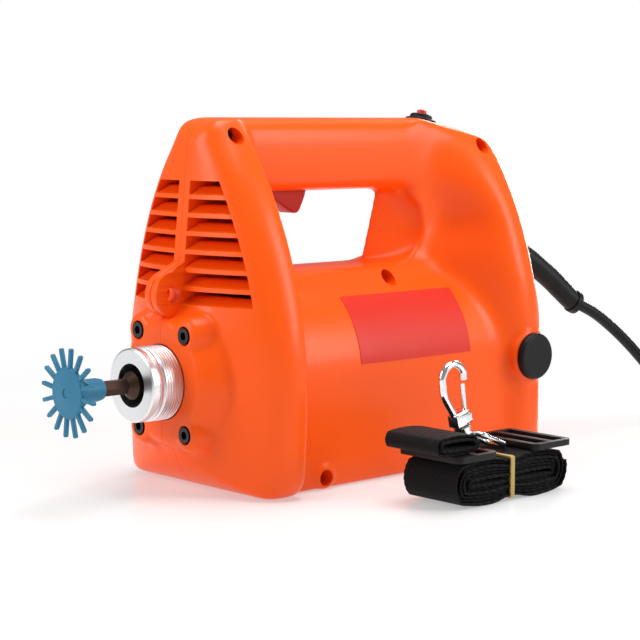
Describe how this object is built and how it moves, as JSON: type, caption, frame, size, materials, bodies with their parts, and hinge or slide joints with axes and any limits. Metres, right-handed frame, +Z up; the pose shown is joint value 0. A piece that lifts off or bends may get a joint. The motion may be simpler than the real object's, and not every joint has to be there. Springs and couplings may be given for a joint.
{
  "type": "concrete vibrator drive unit",
  "caption": "Handheld electric drive unit of a concrete vibrator: clamshell casing with a top grip, threaded nose for the hose, power cable and a carrying strap laid beside it.",
  "frame": {"origin": "on the floor under the seam of the two casing halves, midway between the front face and the rear wall", "axes": "+X towards the rating plate, -Y out of the threaded nose, +Z up"},
  "size_m": [0.27, 0.6777, 0.2458],
  "materials": {
    "orange_shell": "gloss",
    "black_screw": "black oxide",
    "plate_film": "gloss film",
    "cast_aluminium": "turned",
    "seal_rubber": "matt",
    "bearing_steel": "ground",
    "dark_steel": "heat darkened",
    "blue_plastic": "gloss",
    "core_steel": "lamination edges",
    "copper": "varnished wire",
    "brass": "drawn",
    "carbon": "pressed carbon",
    "black_plastic": "satin",
    "red_plastic": "satin",
    "pale_plastic": "satin",
    "cable_rubber": "satin",
    "plated_steel": "nickel plated",
    "webbing": "woven",
    "band_rubber": "satin",
    "hook_chrome": "polished"
  },
  "bodies": {
    "casing": {"left_shell": "orange_shell", "right_shell": "orange_shell", "left_lug": "orange_shell", "right_lug": "orange_shell", "case_screws": "black_screw", "rating_plate": "plate_film", "nose_flange": "cast_aluminium", "flange_screws": "black_screw", "shaft_seal": "seal_rubber", "front_bearing": "bearing_steel", "fan_baffle": "black_plastic", "stator_core": "core_steel", "field_coils": "copper", "rear_bearing": "bearing_steel", "bearing_cup": "seal_rubber", "brush_holders": "brass", "carbon_brushes": "carbon", "brush_springs": "bearing_steel", "brush_cover_left": "black_plastic", "brush_cover_right": "black_plastic", "trigger_pin": "bearing_steel", "switch_body": "black_plastic", "breaker_body": "black_plastic", "breaker_nut": "black_plastic", "inner_lead": "cable_rubber", "cable_clamp": "black_plastic", "clamp_screws": "bearing_steel", "cable_boot": "cable_rubber", "cable_lead": "cable_rubber", "cable_coil": "cable_rubber", "coil_tie": "cable_rubber", "plug_body": "black_plastic", "plug_pins": "plated_steel"},
    "rotor": {"drive_spindle": "dark_steel", "armature_shaft": "bearing_steel", "armature_core": "core_steel", "armature_winding": "copper", "commutator": "copper", "cooling_fan": "black_plastic"},
    "star": {"drive_star": "blue_plastic"},
    "trigger_lever": {"trigger": "red_plastic"},
    "plunger": {"switch_plunger": "pale_plastic"},
    "reset": {"reset_button": "red_plastic"},
    "strap": {"webbing_hank": "webbing", "webbing_tail": "webbing", "rubber_band": "band_rubber", "front_slide": "black_plastic", "rear_slide": "black_plastic", "hook_eye": "hook_chrome"},
    "hook": {"hook_body": "hook_chrome", "hook_pin": "bearing_steel"},
    "gate": {"hook_gate": "hook_chrome"}
  },
  "joints": [
    {"name": "rotor_spin", "type": "hinge", "parent": "casing", "child": "rotor", "pos_m": [0, -0.137, 0.072], "axis": [0, -1, 0], "continuous": true},
    {"name": "star_pull", "type": "slide", "parent": "rotor", "child": "star", "axis": [0, -1, 0], "range_m": [0, 0.06]},
    {"name": "trigger_pull", "type": "hinge", "parent": "casing", "child": "trigger_lever", "pos_m": [0, -0.088, 0.202], "axis": [1, 0, 0], "range_deg": [0, 9], "stiffness_Nm_per_rad": 1.2, "springref_deg": -4.58},
    {"name": "plunger_push", "type": "slide", "parent": "casing", "child": "plunger", "axis": [0, 0, 1], "range_m": [0, 0.0045], "stiffness_N_per_m": 0.02, "springref_m": 0.1694},
    {"name": "reset_press", "type": "slide", "parent": "casing", "child": "reset", "axis": [0, -0.2228, -0.9749], "range_m": [0, 0.002], "stiffness_N_per_m": 500, "springref_m": -0.002},
    {"name": "strap_lift", "type": "slide", "parent": "casing", "child": "strap", "axis": [0, 0, 1], "range_m": [0, 0.3]},
    {"name": "hook_swivel", "type": "hinge", "parent": "strap", "child": "hook", "pos_m": [0.14, -0.026, 0.04016], "axis": [0, -0.2924, 0.9563], "continuous": true},
    {"name": "gate_open", "type": "hinge", "parent": "hook", "child": "gate", "pos_m": [0.14, -0.02555, 0.05441], "axis": [1, 0, 0], "range_deg": [0, 25], "stiffness_Nm_per_rad": 0.03, "springref_deg": -11.46}
  ],
  "couplings": [
    {"joint": "plunger_push", "follows": "trigger_pull", "m_per_rad": 0.026}
  ]
}
